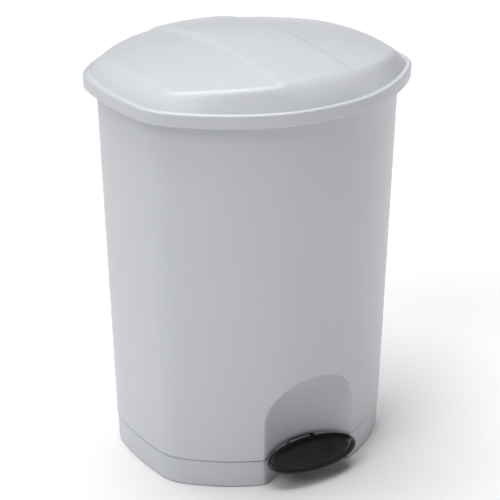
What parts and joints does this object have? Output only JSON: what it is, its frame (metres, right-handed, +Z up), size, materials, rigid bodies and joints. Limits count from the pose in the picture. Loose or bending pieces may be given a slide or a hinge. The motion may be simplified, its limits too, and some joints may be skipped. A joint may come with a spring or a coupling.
{
  "type": "pedal bin",
  "caption": "Free-standing pedal bin: drafted eight-sided body with a foot niche, domed lid that opens from a front pedal through a rear lift rod, lift-out inner bucket.",
  "frame": {"origin": "on the floor, under the middle of the base", "axes": "+Z up; the pedal and the lid's opening edge face -Y; +X to the right seen from behind the pedal user"},
  "size_m": [0.433, 0.4139, 0.6],
  "materials": {
    "shell_plastic": "satin",
    "bucket_plastic": "matte",
    "pedal_plastic": "satin",
    "bearing_plastic": "matte",
    "rubber": "matte",
    "steel": "satin",
    "zinc_steel": "satin"
  },
  "bodies": {
    "bin": {"outer_body": "shell_plastic", "base_plinth": "shell_plastic", "base_screws": "steel", "pedal_bearings": "bearing_plastic", "bearing_screws": "steel", "hinge_bracket": "shell_plastic", "bracket_bolts": "steel", "bracket_nuts": "steel", "hinge_pin": "steel", "hinge_pin_clips": "steel", "rod_guide_upper": "bearing_plastic", "rod_guide_lower": "bearing_plastic", "guide_screws": "steel", "inner_bucket": "bucket_plastic"},
    "lid_body": {"lid": "shell_plastic", "lid_buffers": "rubber", "lid_crank": "zinc_steel", "crank_screws": "steel", "crank_pin": "steel"},
    "pedal_body": {"pedal": "pedal_plastic", "tread_screws": "steel", "pedal_lever": "zinc_steel", "pedal_axle": "steel", "axle_clips": "steel"},
    "rod_body": {"lift_rod": "steel", "rod_head": "bearing_plastic", "rod_pin": "steel", "rod_pin_clips": "steel"}
  },
  "joints": [
    {"name": "lid_hinge", "type": "hinge", "parent": "bin", "child": "lid_body", "pos_m": [0, 0.2075, 0.545], "axis": [-1, 0, 0], "range_deg": [0, 78]},
    {"name": "pedal_pivot", "type": "hinge", "parent": "bin", "child": "pedal_body", "pos_m": [0, -0.122, 0.04], "axis": [1, 0, 0], "range_deg": [0, 10.78]},
    {"name": "rod_lift", "type": "slide", "parent": "bin", "child": "rod_body", "axis": [0, 0, 1], "range_m": [0, 0.05187]}
  ],
  "couplings": [
    {"joint": "pedal_pivot", "follows": "lid_hinge", "ratio": 0.13822},
    {"joint": "rod_lift", "follows": "lid_hinge", "m_per_rad": 0.038091}
  ]
}
